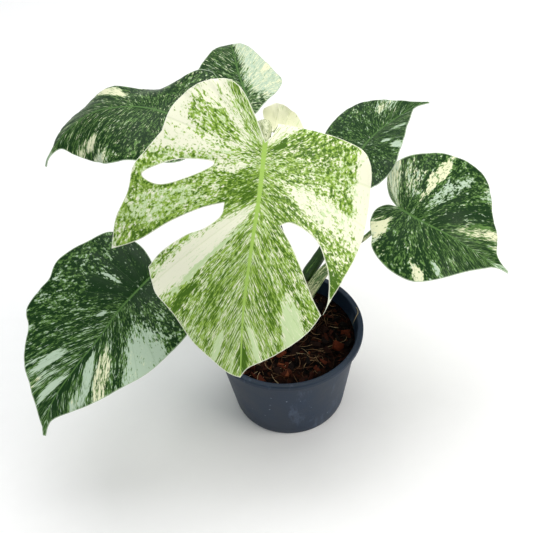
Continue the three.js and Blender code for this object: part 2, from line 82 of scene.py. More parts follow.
# A blade is drawn flat as (along, across) the midrib, right of it positive, and then bent onto it.
# fold and curl are degrees at the stalk, half way and at the tip; curl is the turn over the reach.
# back_left and back_right lead the lobes behind the stalk; route, width and depth are the stalk's own.
# marbling is explained at marbled_blade.
LEAVES = {
    "front": {
        "tissue": "bright",
        "marbling": [
            (0.6, 0.5, 0.5), (0.02, -40, 0.03, 48, 0.2, 0.1, 0.3), (0.1, -88, 0.08, 18, 0.05, 0.1, 0.3),
            (0.17, -48, 0.07, 28, 0.6, 0.12, 0.55), (0.22, -18, 0.14, 14, 0.68, 0.4, 0.6),
            (0.14, -46, 0.026, 40, 0.3, 0.35, 0.4), (0.065, -36, 0.035, 32, 0.66, 0.35, 0.6),
            # The next line's second sector is painted shade: a dark spot for a slit by the midrib, left
            # closed.
            (0, -40, 0.022, 60, 0, 0.1, 0.2), (0.052, -10, 0.009, 6, 2, 0, 4),
            (0.26, -57, 0.07, 17, 0.84, 0.3, 0.75), (0.355, -36, 0.035, 26, 0.68, 0.3, 0.6),
            (0.44, -34, 0.1, 11, 0.05, 0.8, 0.3), (0.5, -12, 0.12, 11, 0.7, 0.4, 0.6),
            (0.64, -34, 0.11, 7, 0.25, 0.6, 0.3), (0.73, -9, 0.05, 5, 0.1, 0.8, 0.3),
            (0.9, -2, 0.1, 4, 0.95, 0.3, 0.85), (0.05, 62, 0.05, 60, 0.25, 0.15, 0.4),
            (0.055, 36, 0.02, 24, 0.62, 0.4, 0.5), (0.1, 20, 0.02, 18, 0.42, 0.3, 0.5),
            (0.145, 70, 0.02, 36, 0.5, 0.75, 0.45), (0.185, 52, 0.025, 58, 0.82, 0.5, 0.55),
            (0.15, 14, 0.04, 14, 0.75, 0.6, 0.6), (0.26, 38, 0.045, 40, 0, 0.1, 0.2),
            (0.3, 30, 0.012, 26, 0.05, 0.95, 0.3), (0.205, 8, 0.02, 8, 0.9, 0.4, 0.7),
            (0.335, 43, 0.025, 12, 0.92, 0.4, 0.75), (0.36, 66, 0.05, 14, 0.5, 0.5, 0.4),
            (0.65, 17, 0.045, 6, 0.1, 0.8, 0.3), (0.87, 7, 0.08, 3, 0.35, 0.65, 0.4),
            (0.45, 20, 0.1, 22, 0.66, 0.6, 0.55),
        ],
        "midrib": [(-6, -7, 282), (-13, -35, 259), (-21, -59, 235), (-30, -83, 200), (-36, -104, 159)],
        "back_left": [
            (-4.6, 4, 288.8), (-5.5, 8, 286.5), (-7, 11.5, 282), (-8.5, 14.5, 277.5),
            (-9.5, 18.5, 275.5), (-10, 22, 278.5), (-10.2, 24.3, 284.5), (-10.2, 25.5, 292),
            (-10, 26, 299),
        ],
        "back_right": [(0, 16, 300)],
        "fold_left": (-20, -20, -8),
        "fold_right": (4, 2, 0),
        "curl_left": (-30, -30, -15),
        "curl_right": (-8, -8, -10),
        "reach": 80,
        "margin": [
            [(0, 0), (-16, 8), (-36, 21), (-42, 36), (-35, 54), (-21, 67), (-3, 72)],
            [(-3, 72), (9, 81), (22, 90), (43, 93), (67, 101), (90, 103)],
            [(90, 103), (79, 81), (62, 59), (50, 39), (44, 23)],
            [(44, 23), (53, 24), (63, 34), (70, 47), (84, 63), (97, 72)],
            [(97, 72), (112, 65), (125, 49), (144, 32), (160, 10), (163, 0)],
            [(163, 0), (155, -6), (146, -23), (131, -44), (116, -54)],
            [(116, -54), (92, -41), (68, -28), (54, -17)],
            [(54, -17), (51, -25), (58, -42), (70, -51), (88, -57), (105, -58), (116, -55.5)],
            [
                (116, -55.5), (104, -60), (86, -69), (62, -81), (38, -88), (12, -90), (-8, -80),
                (-13, -62), (-15, -44),
            ],
            [
                (-15, -44), (-24, -40), (-40, -35), (-51, -29), (-55, -18), (-50, -6), (-42, -5),
                (-30, -9), (-16, -9), (-6, -5), (0, 0),
            ],
        ],
        "holes": [[(28, 83), (18, 66), (15, 50), (17, 33), (27, 48), (35, 70)]],
        "route": [
            (13, 17, 113), (7, 21, 128), (-6, 30, 152), (-14, 36, 190), (-14, 34, 232), (-11, 25, 264),
            (-7.5, 16, 278.5), (-5, 7, 284),
        ],
        "width": (4, 4, 3.4, 3.2, 3.2, 3.8, 5.2, 5.6),
        "depth": (4, 4, 3.4, 3.2, 3.2, 3.6, 4.4, 4.4),
    },
    "back_left": {
        "tissue": "deep",
        "marbling": [
            (0.84, 0.4, 0.6), (0.28, -48, 0.13, 10, 0.3, 0.5, 0.4), (0.5, -28, 0.14, 8, 0.5, 0.15, 0.5),
            (0.34, -29, 0.05, 7, 0.3, 0.15, 0.5), (0.25, 30, 0.035, 15, 0.26, 0.1, 0.3),
            (0.95, 0, 0.08, 4, 0.2, 0.9, 0.3),
        ],
        "midrib": [
            (-73, 100, 236), (-95, 108, 241), (-117, 115, 240), (-143, 118, 235), (-166, 112, 223),
            (-183, 100, 208), (-187, 96, 201),
        ],
        "back_left": [(-48, 70, 234)],
        "back_right": [(-50, 84, 252)],
        "fold_left": (-10, -8, -6),
        "fold_right": (10, -5, -14),
        "curl_left": (-20, -22, -20),
        "curl_right": (-6, -22, -20),
        "reach": 50,
        "wave_right": (9, 66, 67),
        "margin": [
            [
                (0, 0), (-12, 6), (-26, 17), (-32, 31), (-30, 44), (-20, 52), (-8, 52), (5, 48),
                (20, 45), (36, 40), (48, 38), (58, 40), (66, 41), (77, 36), (86, 29), (97, 19), (112, 9),
                (118, 4),
            ],
            [(118, 4), (124, 2), (135.5, 1.2)],
            [(135.5, 1.2), (135.5, -1.2)],
            [
                (135.5, -1.2), (124, -1.5), (115, -7), (111, -22), (103, -37), (93, -45), (72, -52),
                (48, -54), (28, -51), (8, -47), (-12, -40), (-26, -27), (-26, -12), (-12, -3), (0, 0),
            ],
        ],
        "holes": [],
        "route": [
            (12, 20, 98), (3, 27, 112), (-20, 40, 146), (-31, 54, 186), (-46, 72, 216), (-64, 94, 232),
        ],
        "width": (3.4, 3.6, 2.6, 2.3, 2.2, 2.6),
        "depth": (4, 3.6, 2.6, 2.3, 2.2, 2.4),
    },
    "lower_left": {
        "tissue": "deep",
        "marbling": [
            (0.78, 0.9, 0.62), (0.2, -46, 0.08, 32, 0.24, 0.9, 0.5),
            (0.36, -24, 0.065, 17, 0.45, 0.15, 0.5), (0.47, -14, 0.06, 12, 0.28, 0.95, 0.5),
            (0.58, -18, 0.11, 6, 0.42, 0.8, 0.5), (0.6, -2, 0.3, 4, 0.9, 0.9, 0.85),
            (0.1, 10, 0.12, 30, 0.92, 0.9, 0.9), (0.66, 7, 0.055, 7, 0.06, 1, 0.5),
            (0.52, 16, 0.05, 10, 0.48, 0.9, 0.7), (0.43, 21, 0.045, 9, 0.2, 1, 0.5),
            (0.53, 25, 0.05, 7, 0.6, 0.1, 0.5), (0.26, 58, 0.025, 8, 0.15, 0.9, 0.4),
            (0.125, 22, 0.007, 10, 0.3, 1, 0.6), (0.255, 10, 0.014, 3, 0.15, 1, 0.6),
        ],
        "midrib": [
            (-101, 2, 158.5), (-127, -21, 147), (-144, -38, 135), (-162, -55, 124), (-182, -76, 108),
            (-189, -94, 93),
        ],
        "back_left": [(-90, 18, 154)],
        "back_right": [(-90, 18, 160)],
        "fold_left": (-4, -4, -4),
        "fold_right": (24, 18, 6),
        "curl_left": (-14, -14, -14),
        "curl_right": (-14, -14, -14),
        "reach": 60,
        "margin": [
            [
                (0, 0), (-5, 4), (-9, 11), (-12, 23), (-10, 38), (-4, 52), (12, 60), (28, 67), (39, 69),
                (49, 64.5), (61, 67), (76, 68), (84, 64), (90, 55), (104, 46), (112, 37), (120, 23),
                (130, 11), (142, 3),
            ],
            [(142, 3), (148.3, 1.2)],
            [(148.3, 1.2), (148.3, -1.2)],
            [
                (148.3, -1.2), (141, -1.8), (135, -5), (124, -17), (105, -30), (83, -41), (60, -51),
                (38, -56), (16, -56), (-6, -48), (-18, -34), (-18, -18), (-9, -6), (0, 0),
            ],
        ],
        "holes": [],
        "route": [(8, 16, 82), (1, 15, 94), (-26, 11, 130), (-60, 7, 150), (-84, 6, 156), (-95, 5, 155)],
        "width": (4, 3.8, 2.8, 2.4, 2.4, 2.6),
        "depth": (4, 3.6, 2.8, 2.4, 2.4, 2.4),
    },
    "upper_right": {
        "tissue": "deep",
        "marbling": [
            (0.84, 0.75, 0.62), (0.44, -24, 0.17, 16, 0.56, 0.75, 0.6),
            (0.36, -20, 0.04, 6, 0.45, 0.3, 0.5), (0.137, 16, 0.02, 5, 0.3, 1, 0.5),
            (0.11, 28, 0.02, 7, 0.25, 1, 0.5), (0.315, 13, 0.05, 4, 0.4, 1, 0.5),
        ],
        "midrib": [
            (67, 59, 216), (78, 75, 217), (92, 92, 216), (108, 107, 215), (121, 118, 215),
            (136, 124, 214),
        ],
        "back_left": [(54, 44, 214)],
        "back_right": [(50, 42, 206)],
        "fold_left": (0, 2, 0),
        "fold_right": (24, 20, 5),
        "curl_left": (-20, -20, -10),
        "curl_right": (-20, -20, -10),
        "reach": 45,
        "margin": [
            [
                (0, 0), (-12, 6), (-28, 16), (-34, 27), (-30, 35), (-14, 38), (2, 34), (16, 31),
                (34, 25), (50, 17.5), (61, 12), (78, 3),
            ],
            [(78, 3), (86, 1.6), (96, 1.2)],
            [(96, 1.2), (96, -1.2)],
            [
                (96, -1.2), (91, -3), (84, -8), (77, -17), (72, -28), (64, -41), (54, -45), (40, -45),
                (20, -41), (2, -35), (-11, -25), (-14, -13), (-8, -3), (0, 0),
            ],
        ],
        "holes": [],
        "route": [
            (19, 22, 102), (22, 24.5, 122), (30, 28, 134), (38, 33, 147), (48, 41, 178), (58, 51, 205),
            (64, 56, 211),
        ],
        "width": (4.5, 5.4, 5, 3.6, 2.5, 2.1, 2.2),
        "depth": (4.5, 5.4, 5, 3.6, 2.5, 2, 2.2),
    },
    "right": {
        "tissue": "deep",
        "marbling": [
            (0.86, 0.65, 0.55), (0.42, -17, 0.1, 14, 0.58, 0.1, 0.4),
            (0.42, -22, 0.045, 6, 0.36, 0.1, 0.4), (0.62, -16, 0.1, 7, 0.5, 0.3, 0.5),
            (0.27, -22, 0.07, 24, 0.85, 0.8, 0.85), (0.24, -55, 0.07, 14, 0.5, 0.8, 0.5),
            (0.155, -33, 0.025, 27, 0.5, 1, 0.7), (0.112, -38, 0.014, 34, 0.36, 0.1, 0.3),
            (0.075, -25, 0.025, 18, 0.6, 0.5, 0.6), (0.02, -20, 0.03, 25, 0.4, 0.5, 0.5),
            (0.06, 24, 0.018, 18, 0.2, 0.15, 0.4), (0.16, 40, 0.013, 8, 0.25, 0.1, 0.4),
            (0.215, 30, 0.02, 6, 0.4, 0.9, 0.5), (0.92, 0, 0.14, 4, 0.3, 0.9, 0.3),
        ],
        "midrib": [
            (91, 18, 194), (105, 9, 188), (118, 2, 183), (129, -3, 178), (143, -8, 169), (157, -14, 160),
            (172, -18, 150),
        ],
        "back_left": [(78, 30, 210)],
        "back_right": [(74, 32, 196)],
        "fold_left": (26, 24, 10),
        "fold_right": (-18, -14, -6),
        "curl_left": (-12, -12, -10),
        "curl_right": (-12, -12, -10),
        "reach": 50,
        "margin": [
            [
                (0, 0), (-8, 3), (-13, 11), (-11, 22), (-4, 31), (1, 39), (12, 45), (26, 48), (38, 46),
                (55, 33), (74, 14.5), (86, 4),
            ],
            [(86, 4), (92, 1.8), (101, 1.2)],
            [(101, 1.2), (101, -1.2)],
            [
                (101, -1.2), (95, -3.5), (88, -10), (84, -25), (73, -39), (66, -52), (56, -66),
                (40, -67.5), (20, -64), (2, -57), (-12, -41), (-21, -22), (-20, -9), (-12, -2.5), (0, 0),
            ],
        ],
        "holes": [],
        "route": [
            (17.5, 13, 90), (20, 13.5, 107), (27, 14, 122), (34, 14.5, 133.5), (44, 15.5, 145),
            (56, 17, 155.5), (69, 18, 166), (83, 19, 182), (89, 19, 190),
        ],
        "width": (4.5, 4.8, 5.2, 4.8, 3.6, 2.6, 2, 1.9, 2.2),
        "depth": (4.5, 4.8, 5.2, 4.8, 3.6, 2.6, 2, 1.9, 2),
    },
    "back": {
        "tissue": "deep",
        "marbling": [
            (0.78, 0.5, 0.62), (0.4, 23, 0.42, 24, 0.22, 0.6, 0.45), (0.75, 10, 0.3, 9, 0.25, 0.6, 0.45),
            (0.3, 30, 0.04, 14, 0.25, 0.1, 0.4), (0.125, 11, 0.05, 3, 0.8, 0.5, 0.8),
        ],
        "midrib": [
            (-13, 83, 246), (-17, 114, 243), (-22, 146, 243), (-25, 177, 244), (-28, 198, 241),
            (-30, 208, 231),
        ],
        "back_left": [(-10, 62, 245)],
        "back_right": [(-12, 62, 247)],
        "fold_left": (-6, -4, 0),
        "fold_right": (2, 2, 2),
        "curl_left": (-10, -10, -10),
        "curl_right": (-10, -10, -10),
        "reach": 45,
        "margin": [
            [
                (0, 0), (-3, 2), (8, 9), (19, 17), (33, 28), (46, 33), (60, 30), (75, 25.5), (98, 17),
                (116, 8), (124, 3),
            ],
            [(124, 3), (129, 1.5), (135, 1.2)],
            [(135, 1.2), (135, -1.2)],
            [
                (135, -1.2), (128, -3), (119, -8), (110, -16), (98, -25), (80, -34), (56, -39),
                (32, -39), (10, -33), (-6, -23), (-8, -9), (0, 0),
            ],
        ],
        "holes": [],
        "route": [
            (14, 21, 86), (13.5, 29, 99), (4, 46, 140), (-6, 63, 192), (-12, 76, 230), (-13, 80, 241),
        ],
        "width": (3.4, 3.5, 2.8, 2.3, 2.2, 2.4),
        "depth": (4, 3.6, 2.8, 2.3, 2.2, 2.4),
    },
}

# edge is the colour of a painted highlight along each leaf margin.
TISSUES = {
    "bright": {
        "cream": "#f1f2d8", "mint": "#c9dfaa", "light": "#98ba4c", "dark": "#456a16", "rib": "#a3c75f",
        "edge": "#f6f7e6", "under": "#d5dcb4", "rib_width": 1.7,
    },
    "deep": {
        "cream": "#e2e4bf", "mint": "#b3c8b0", "light": "#618743", "dark": "#0c3008", "rib": "#4f7439",
        "edge": "#b4c5a8", "under": "#84a077", "rib_width": 0.9,
    },
}


# Curves and bending

class Rail:
    """A line of points, read by the distance along it; past either end it runs on straight."""

    def __init__(self, places):
        self.places = places
        self.marks = [0]
        for before, after in zip(places, places[1:]):
            self.marks.append(self.marks[-1] + (after - before).length)
        self.length = self.marks[-1]

    def near(self, distance):
        return min(max(bisect_right(self.marks, distance), 1), len(self.places) - 1)

    def at(self, distance):
        i = self.near(distance)
        share = (distance - self.marks[i - 1]) / (self.marks[i] - self.marks[i - 1])
        return self.places[i - 1].lerp(self.places[i], share)

    def heading(self, distance):
        i = self.near(distance)
        return (self.places[min(i + 1, len(self.places) - 1)] - self.places[max(i - 2, 0)]).normalized()


def smooth(points, before, after, steps=40):
    """Dense points on a Catmull-Rom curve through points; before and after steer its two ends."""
    run = [Vector(point).to_3d() for point in (before, *points, after)]
    dense = []
    for a, b, c, d in zip(run, run[1:], run[2:], run[3:]):
        for k in range(steps):
            u = k / steps
            bend = (2 * a - 5 * b + 4 * c - d) * u**2 + (3 * b - a - 3 * c + d) * u**3
            dense.append((2 * b + (c - a) * u + bend) / 2)
    return dense + [run[-2]]


def open_rail(points, start=0, steps=40):
    points = [Vector(point) for point in points]
    dense = smooth(points, points[0] * 2 - points[1], points[-1] * 2 - points[-2], steps)
    return Rail(dense[start * steps:])


def through_three(values, at):
    """A smooth value through three given ones, at 0, a half and 1."""
    first, middle, last = values
    u = min(max(at, 0), 1)
    return first * 2 * (u - 0.5) * (u - 1) - middle * 4 * u * (u - 1) + last * 2 * u * (u - 0.5)


def along_list(values, at):
    place = min(max(at, 0), 1) * (len(values) - 1)
    index = min(int(place), len(values) - 2)
    return values[index] + (values[index + 1] - values[index]) * (place - index)


class Blade:
    """Bends a flat leaf drawing, [along, across] the midrib, into its place in space."""

    def __init__(self, leaf):
        self.leaf = leaf
        self.rail = open_rail(leaf["midrib"])
        self.length = self.rail.length
        start, heading = self.rail.at(0), self.rail.heading(0)
        self.backs = []
        for back in (leaf["back_left"], leaf["back_right"]):
            lead = heading * ((Vector(back[0]) - start).length * 2)
            self.backs.append(open_rail([Vector(back[0]) + lead, start, *back], 1))

    def frame(self, along):
        ahead = self.rail.at(max(along, 0) + EVENNESS)
        heading = (ahead - self.rail.at(max(along, 0) - EVENNESS)).normalized()
        side = Vector((heading.y, -heading.x, 0)).normalized()
        return side, side.cross(heading)

    def place(self, along, across):
        right = across > 0
        share = along / self.length
        base = self.rail.at(along) if along >= 0 else self.backs[right].at(-along)
        side, upper = self.frame(along)
        fold = math.radians(through_three(self.leaf["fold_right" if right else "fold_left"], share))
        turn = math.radians(through_three(self.leaf["curl_right" if right else "curl_left"], share))
        turn /= self.leaf["reach"]
        distance = abs(across)
        out = (math.sin(fold + turn * distance) - math.sin(fold)) / turn
        rise = -(math.cos(fold + turn * distance) - math.cos(fold)) / turn
        if right and "wave_right" in self.leaf:
            height, length, crest = self.leaf["wave_right"]
            phase = math.cos(2 * math.pi * (along - crest) / length)
            rise += height * phase * (distance / self.leaf["reach"]) ** 2
        return base + side * math.copysign(out, across) + upper * rise

    def normal(self, along, across, step=0.5):
        ahead = self.place(along + step, across) - self.place(along - step, across)
        aside = self.place(along, across + step) - self.place(along, across - step)
        return aside.cross(ahead).normalized()


# Making meshes

SHARP_ANGLE = math.radians(50)


def finish_piece(name, bm, material, node=None, layers=()):
    """Turns a bmesh in millimetres into a smooth piece in metres that rides on the plant."""
    bmesh.ops.recalc_face_normals(bm, faces=bm.faces)
    bmesh.ops.scale(bm, vec=(MM, MM, MM), verts=bm.verts)
    for face in bm.faces:
        face.smooth = True
    for edge in bm.edges:
        edge.smooth = edge.calc_face_angle(0) < SHARP_ANGLE
    mesh = bpy.data.meshes.new(name)
    bm.to_mesh(mesh)
    bm.free()
    mesh.materials.append(material)
    piece = bpy.data.objects.new(name, mesh)
    bpy.context.collection.objects.link(piece)
    for layer, values in layers:
        attribute = mesh.attributes.new(layer, "FLOAT_VECTOR", "POINT")
        for i, value in enumerate(values):
            attribute.data[i].vector = value
    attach(piece, "root")
    if node:
        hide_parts(node)
    return piece


def turned(profile, sides):
    """A closed body: a profile of (radius, height) from axis to axis, spun round the pot's axis."""
    bm = bmesh.new()
    line = [bm.verts.new((radius, 0, height)) for radius, height in profile]
    edges = [bm.edges.new(pair) for pair in zip(line, line[1:])]
    bmesh.ops.spin(
        bm, geom=line + edges, cent=(0, 0, 0), axis=(0, 0, 1),
        angle=2 * math.pi, steps=sides, use_merge=True,
    )
    bmesh.ops.remove_doubles(bm, verts=bm.verts, dist=1e-3)
    return bm


def tube(route, width, depth, sides=20, step=2.5):
    """A tube of elliptic section bent along a route, and each vertex's place in its skin."""
    rail = open_rail(route)
    steps = math.ceil(rail.length / step)
    bm = bmesh.new()
    bmesh.ops.create_cone(bm, cap_ends=True, segments=sides, radius1=1, radius2=1, depth=1)
    long_edges = [edge for edge in bm.edges if abs(edge.verts[0].co.z - edge.verts[1].co.z) > 0.5]
    bmesh.ops.subdivide_edges(bm, edges=long_edges, cuts=steps - 1)
    skin = []
    for vert in bm.verts:
        at = vert.co.z + 0.5
        heading = rail.heading(at * rail.length)
        side = (Vector((-heading.y, heading.x, 0)) + Vector((0.05, 0, 0))).normalized()
        side = (side - heading * side.dot(heading)).normalized()
        upper = heading.cross(side)
        x = vert.co.x * along_list(width, at)
        y = vert.co.y * along_list(depth, at)
        skin.append(Vector((x, y, at * rail.length)) * MM)
        vert.co = rail.at(at * rail.length) + side * x + upper * y
    return bm, skin


# Leaf blades

VEIN_TILT = 1.9
VEIN_FAN = 0.87
VEIN_SWEEP = 1.0
VEIN_BOW = 0.5
FAN_WIDTH = 30
MARGIN_STEP = 1.6
INNER_STEP = 2.2
VEIN_SPACING = 13
QUILT_DEPTH = 0.3
SWELL_HEIGHT = 0.7
RIPPLE_HEIGHT = 0.5


def vein_of(along, across, length):
    """Where on the midrib, from 0 to 1, the side vein through this point of the flat blade starts."""
    low, high = 1e-4, 1.3
    distance = abs(across)
    for _ in range(22):
        x = (low + high) / 2
        reached = x * length + distance * (VEIN_TILT + VEIN_FAN * math.log(x) + VEIN_SWEEP * x)
        reached += VEIN_BOW * x * distance * distance / length
        if reached < along:
            low = x
        else:
            high = x
    return low


def stepped(rail, step):
    steps = max(1, round(rail.length / step))
    return [rail.at(rail.length * k / steps) for k in range(steps)]


def outlines(leaf):
    """The margin and then each hole as evenly stepped loops; corners between margin runs stay sharp."""
    margin = []
    for run in leaf["margin"]:
        margin += stepped(Rail(smooth(run, run[0], run[-1], 12)), MARGIN_STEP)
    holes = [smooth([*ring, ring[0]], ring[-1], ring[1], 12) for ring in leaf["holes"]]
    return [margin] + [stepped(Rail(ring), MARGIN_STEP * 0.7) for ring in holes]


def flat_blade(leaf, length):
    """The blade's flat sheet of even triangles, with a tree of its margin points."""
    loops = outlines(leaf)
    points = [point for loop in loops for point in loop]
    margin = KDTree(len(points))
    for i, point in enumerate(points):
        margin.insert(point, i)
    margin.balance()
    faces, first = [], 0
    for loop in loops:
        face = list(range(first, first + len(loop)))
        twice_area = sum(a.x * b.y - b.x * a.y for a, b in zip(loop, loop[1:] + loop[:1]))
        faces.append(face if twice_area > 0 else face[::-1])
        first += len(loop)
    # Rows of points along the blade, closer together beside the midrib.
    rows = [(side * across, 1.8) for side in (-1, 1) for across in (0.55, 1.1, 1.9, 3)] + [(0, 1.8)]
    row_step = INNER_STEP * math.sqrt(0.75)
    for k in range(1, 60):
        rows += [(side * (3 + k * row_step), INNER_STEP) for side in (-1, 1)]
    for k, (across, step) in enumerate(rows):
        along = -60 + (k // 2 % 2) * step / 2
        while along < length:
            point = Vector((along, across, 0))
            if margin.find(point)[2] > step * 0.45 and (abs(across) > 1 or along > 0):
                points.append(point)
            along += step
    flat = [point.to_2d() for point in points]
    corners, _, triangles, _, _, owners = delaunay_2d_cdt(flat, [], faces, 1, 1e-4, True)
    bm = bmesh.new()
    verts = [bm.verts.new((*corner, 0)) for corner in corners]
    for triangle, owner in zip(triangles, owners):
        if list(owner) == [0]:
            bm.faces.new([verts[i] for i in triangle])
    bmesh.ops.delete(bm, geom=[vert for vert in bm.verts if not vert.link_faces], context="VERTS")
    return bm, margin


def relief(u, distance, edge, along, seed):
    """How far the sheet bulges between its side veins and waves along its margin."""
    phase = math.cos(2 * math.pi * u / VEIN_SPACING)
    quilt = -QUILT_DEPTH * max(0, phase) ** 3 * min(1, distance / 12)
    swell = SWELL_HEIGHT * noise.noise(Vector((u / 22, distance / 30, seed)))
    swell *= min(1, distance / 15)
    ripple = noise.noise(Vector((along / 11, distance / 11, seed + 5)))
    ripple *= RIPPLE_HEIGHT * math.exp(-edge / 7)
    fade = along / 8 + 1.5 if along < 0 else 1
    return (quilt + swell + ripple) * min(1, fade)


def leaf_piece(name, leaf, material, seed):
    """Cuts the blade flat, gives it its thickness, rib and relief, and bends it into place."""
    blade = Blade(leaf)
    bm, margin = flat_blade(leaf, blade.length)
    upper = bmesh.ops.extrude_face_region(bm, geom=bm.faces[:])
    for vert in (item for item in upper["geom"] if isinstance(item, bmesh.types.BMVert)):
        vert.co.z = 1
    veins, grain = [], []
    for vert in bm.verts:
        along, across, side = vert.co
        distance = abs(across)
        edge = margin.find(Vector((along, across, 0)))[2]
        x = vein_of(along, across, blade.length)
        u = blade.length * x + FAN_WIDTH * math.log(x + 0.01)
        taper = min(max(1 - along / blade.length, 0), 1)
        normal = blade.normal(along, across)
        half = LEAF_THICKNESS / 2 * min(1, 0.55 + edge / 2.5)
        lift = relief(u, distance, edge, along, seed)
        ridge = math.exp(-((distance / 1.3) ** 2)) * (taper if along > 0 else 0)
        if side > 0.5:
            lift += half - 0.35 * ridge
        else:
            lift -= half + RIB_HEIGHT * ridge
        vert.co = blade.place(along, across) + normal * lift
        veins.append((x, across * MM, side))
        grain.append((u * MM, distance * MM, edge * MM))
    return finish_piece(f"blade_{name}", bm, material, f"leaf_{name}",
                        [("veins", veins), ("grain", grain)])


# Materials

def linear(code):
    """An sRGB hex colour as the linear one that shaders take."""
    channels = [int(code[i:i + 2], 16) / 255 for i in (1, 3, 5)]
    return (*[c / 12.92 if c <= 0.04045 else ((c + 0.055) / 1.055) ** 2.4 for c in channels], 1)


def add(tree, kind, inputs=(), output=0, **options):
    """Adds a node and gives its output; inputs are values or the outputs that feed them."""
    node = tree.nodes.new("ShaderNode" + kind)
    for option, value in options.items():
        setattr(node, option, value)
    for key, value in inputs.items() if isinstance(inputs, dict) else enumerate(inputs):
        if isinstance(value, bpy.types.NodeSocket):
            tree.links.new(value, node.inputs[key])
        else:
            node.inputs[key].default_value = value
    return node.outputs[output]


def start_material(name):
    material = bpy.data.materials.new(name)
    material.use_nodes = True
    material.node_tree.nodes.clear()
    return material, material.node_tree


def coat_with(tree, looks, height, depth):
    """Ends a material: its shader with these looks, and a bump of that depth in metres."""
    bump = add(tree, "Bump", {"Strength": 1, "Distance": depth, "Height": height})
    shader = add(tree, "BsdfPrincipled", {**looks, "Normal": bump})
    end = tree.nodes.new("ShaderNodeOutputMaterial")
    tree.links.new(shader, end.inputs["Surface"])


def pot_plastic():
    """Polypropylene, thermoformed: a dull slate skin with dust, water marks and light scuffs on it."""
    material, tree = start_material("thermoformed_polypropylene")
    place = add(tree, "TexCoord", output=3)
    cloud = add(tree, "TexNoise", {"Vector": place, "Scale": 28, "Detail": 4, "Roughness": 0.6})
    grain = add(tree, "TexNoise", {"Vector": place, "Scale": 900, "Detail": 2})
    body = add(tree, "Mix", {0: cloud, 6: linear("#0d1721"), 7: linear("#26384f")}, 2, data_type="RGBA")
    # Dust specks 1 mm wide about every 9 mm, and dried water marks 6 mm across.
    specks = add(tree, "TexVoronoi", {"Vector": place, "Scale": 110})
    speck = add(tree, "MapRange", {"Value": specks, "From Min": 0.09, "From Max": 0.05, "To Max": 0.8})
    here = add(tree, "MapRange", {"Value": cloud, "From Min": 0.5, "From Max": 0.58})
    dust = add(tree, "Math", [speck, here], operation="MULTIPLY")
    dusty = add(tree, "Mix", {0: dust, 6: body, 7: linear("#93a0b0")}, 2, data_type="RGBA")
    drift = add(tree, "Mapping", {"Vector": place, "Scale": (60, 60, 18)})
    marks = add(tree, "TexNoise", {"Vector": drift, "Scale": 1, "Detail": 5, "Roughness": 0.7})
    scuff = add(tree, "MapRange", {"Value": marks, "From Min": 0.56, "From Max": 0.7, "To Max": 0.55})
    colour = add(tree, "Mix", {0: scuff, 6: dusty, 7: linear("#4c5b72")}, 2, data_type="RGBA")
    span = {"From Min": 0.3, "From Max": 0.7, "To Min": 0.42, "To Max": 0.58}
    gloss = add(tree, "MapRange", {"Value": cloud, **span})
    looks = {"Base Color": colour, "Roughness": gloss, "IOR": 1.49, "Specular IOR Level": 0.3}
    coat_with(tree, looks, grain, 0.00006)
    return material


def potting_mix():
    """Peat and fine bark, loose and damp: near black, with brown crumbs."""
    material, tree = start_material("damp_peat_and_bark")
    place = add(tree, "TexCoord", output=3)
    crumbs, tint = add(tree, "TexVoronoi", {"Vector": place, "Scale": 420}).node.outputs[:2]
    lumps = add(tree, "TexNoise", {"Vector": place, "Scale": 130, "Detail": 5})
    ramp = add(tree, "MapRange", {"Value": lumps, "From Min": 0.45, "From Max": 0.72})
    dark = add(tree, "Mix", {0: ramp, 6: linear("#030202"), 7: linear("#1d0d07")}, 2, data_type="RGBA")
    red = add(tree, "SeparateColor", [tint])
    warm = add(tree, "MapRange", {"Value": red, "From Min": 0.7, "From Max": 0.95, "To Max": 0.6})
    colour = add(tree, "Mix", {0: warm, 6: dark, 7: linear("#35180d")}, 2, data_type="RGBA")
    looks = {"Base Color": colour, "Roughness": 0.95, "IOR": 1.4, "Specular IOR Level": 0.1}
    coat_with(tree, looks, crumbs, 0.0012)
    return material


def loose_bits(name, colours, roughness):
    """Dry plant matter in tones from dark to light, with painted shade in them and finer fibres."""
    material, tree = start_material(name)
    tone = add(tree, "Attribute", output=1, attribute_name="tone")
    ramp = add(tree, "ValToRGB", [add(tree, "SeparateXYZ", [tone])]).node
    while len(ramp.color_ramp.elements) < len(colours):
        ramp.color_ramp.elements.new(0.5)
    for k, (element, code) in enumerate(zip(ramp.color_ramp.elements, colours)):
        element.position = k / (len(colours) - 1)
        element.color = linear(code)
    place = add(tree, "TexCoord", output=3)
    fibres = add(tree, "TexNoise", {"Vector": place, "Scale": 900, "Detail": 4, "Roughness": 0.7})
    span = {"From Min": 0.3, "From Max": 0.7, "To Min": 0.5, "To Max": 1.3}
    shade = add(tree, "MapRange", {"Value": fibres, **span})
    colour = add(tree, "VectorMath", {0: ramp.outputs[0], "Scale": shade}, operation="SCALE")
    looks = {"Base Color": colour, "Roughness": roughness, "IOR": 1.45, "Specular IOR Level": 0.15}
    coat_with(tree, looks, fibres, 0.0004)
    return material


